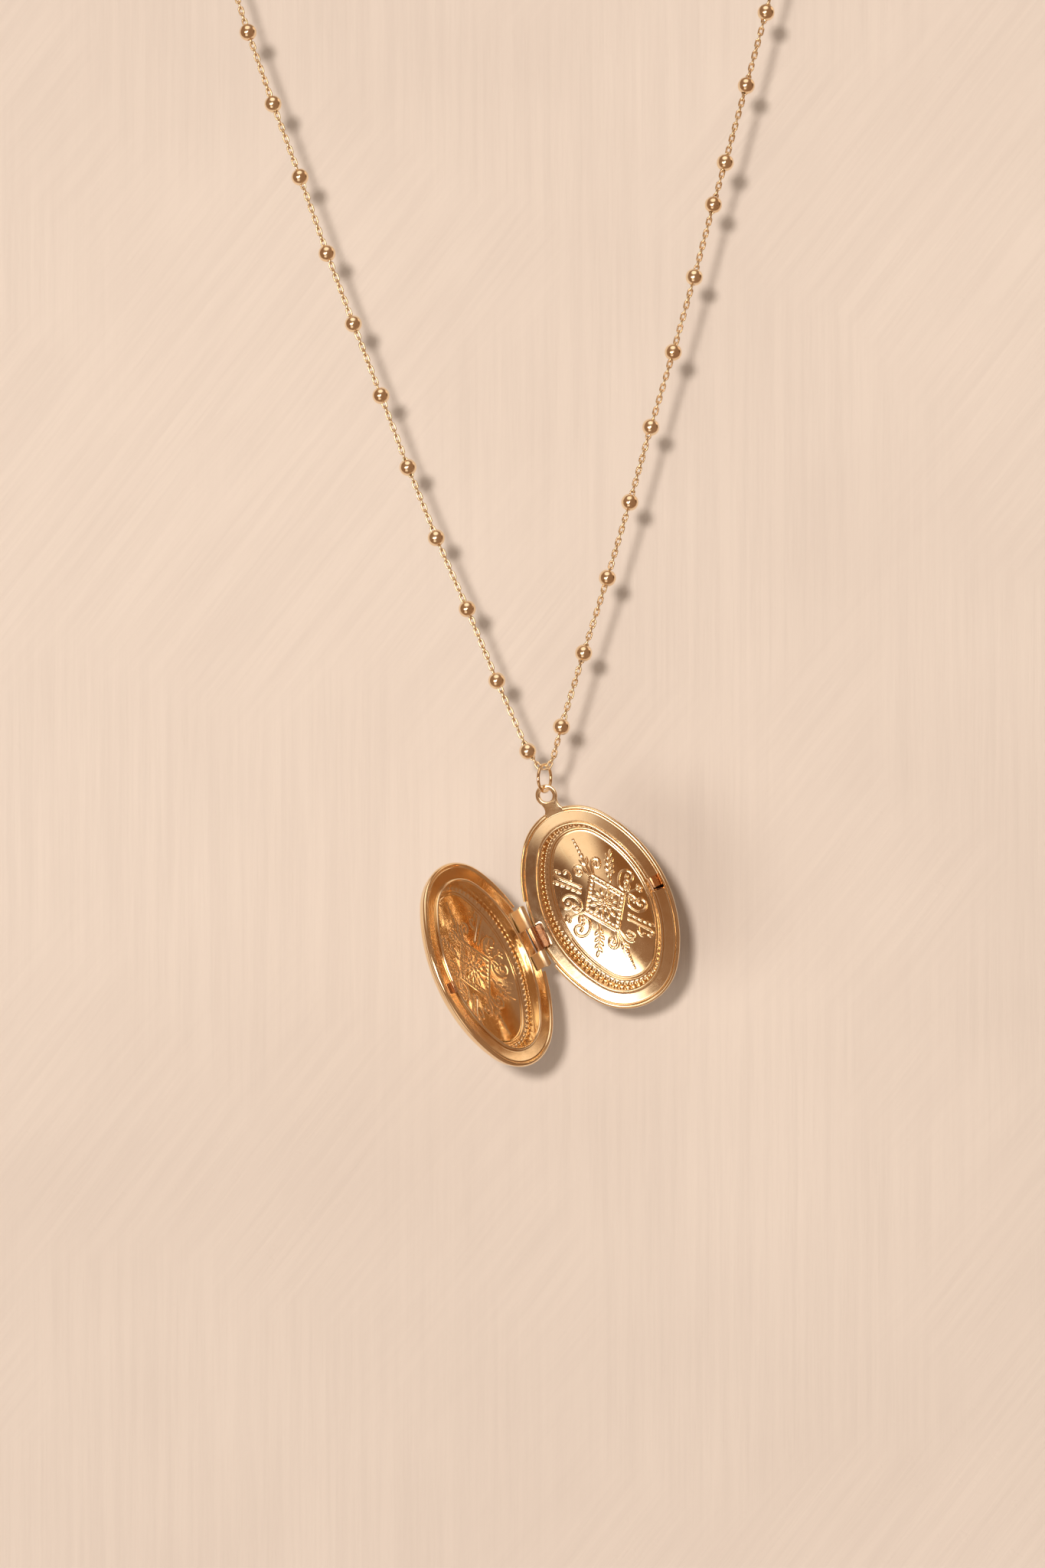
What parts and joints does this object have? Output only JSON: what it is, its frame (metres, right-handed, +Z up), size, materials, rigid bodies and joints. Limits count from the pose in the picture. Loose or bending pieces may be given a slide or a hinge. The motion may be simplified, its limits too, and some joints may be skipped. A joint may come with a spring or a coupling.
{
  "type": "oval photo locket necklace",
  "caption": "Open oval photo locket with engraved inner floors, pin hinge and snap catch, hanging by its bail and jump ring from a fine beaded cable chain with a clasp.",
  "frame": {"origin": "the point inside the clasp hook's bow where the chain is held up", "axes": "+Z up, +X towards the chain's other end, +Y away from the viewer who looks into the open locket"},
  "size_m": [0.092, 0.0192, 0.1767],
  "materials": {
    "gold_polished": "gold-plated brass, mirror polished",
    "gold_brushed": "gold-plated brass, finely brushed",
    "gold_chain": "gold-plated brass wire, bright",
    "brass_bare": "gold-plated brass, satin",
    "spring_steel": "spring wire"
  },
  "bodies": {
    "necklace": {"chain_left": "gold_chain", "chain_left_beads": "gold_polished", "chain_right": "gold_chain", "chain_right_beads": "gold_polished", "clasp_jump_ring": "gold_chain", "clasp_body": "gold_polished", "clasp_pivot_pin": "brass_bare", "clasp_spring": "spring_steel", "end_jump_ring": "gold_chain", "end_ring": "gold_polished"},
    "jump_ring": {"jump_ring": "gold_chain", "chain_center_link": "gold_chain"},
    "back_half": {"back_shell": "gold_polished", "back_frame": "gold_brushed", "back_knuckle": "brass_bare"},
    "lid": {"lid_shell": "gold_polished", "lid_frame": "gold_brushed", "lid_upper_knuckle": "brass_bare", "lid_lower_knuckle": "brass_bare", "hinge_pin": "brass_bare", "catch_tongue": "brass_bare"},
    "clasp_lever": {"clasp_lever": "gold_polished"}
  },
  "joints": [
    {"name": "jump_ring_swing", "type": "hinge", "parent": "necklace", "child": "jump_ring", "pos_m": [0.05135, 0, -0.13067], "axis": [1, 0, 0], "range_deg": [-25, 25]},
    {"name": "locket_swing", "type": "hinge", "parent": "jump_ring", "child": "back_half", "pos_m": [0.05135, 0, -0.13415], "axis": [0.4695, 0.8829, 0], "range_deg": [-40, 40]},
    {"name": "lid_hinge", "type": "hinge", "parent": "back_half", "child": "lid", "pos_m": [0.04976, 0.00465, -0.15632], "axis": [-0.4327, -0.0676, 0.899], "range_deg": [-58, 112]},
    {"name": "clasp_lever_pivot", "type": "hinge", "parent": "necklace", "child": "clasp_lever", "pos_m": [0.00077, 0, -0.00471], "axis": [0, 1, 0], "range_deg": [0, 28], "stiffness_Nm_per_rad": 0.003, "springref_deg": -17.19}
  ]
}
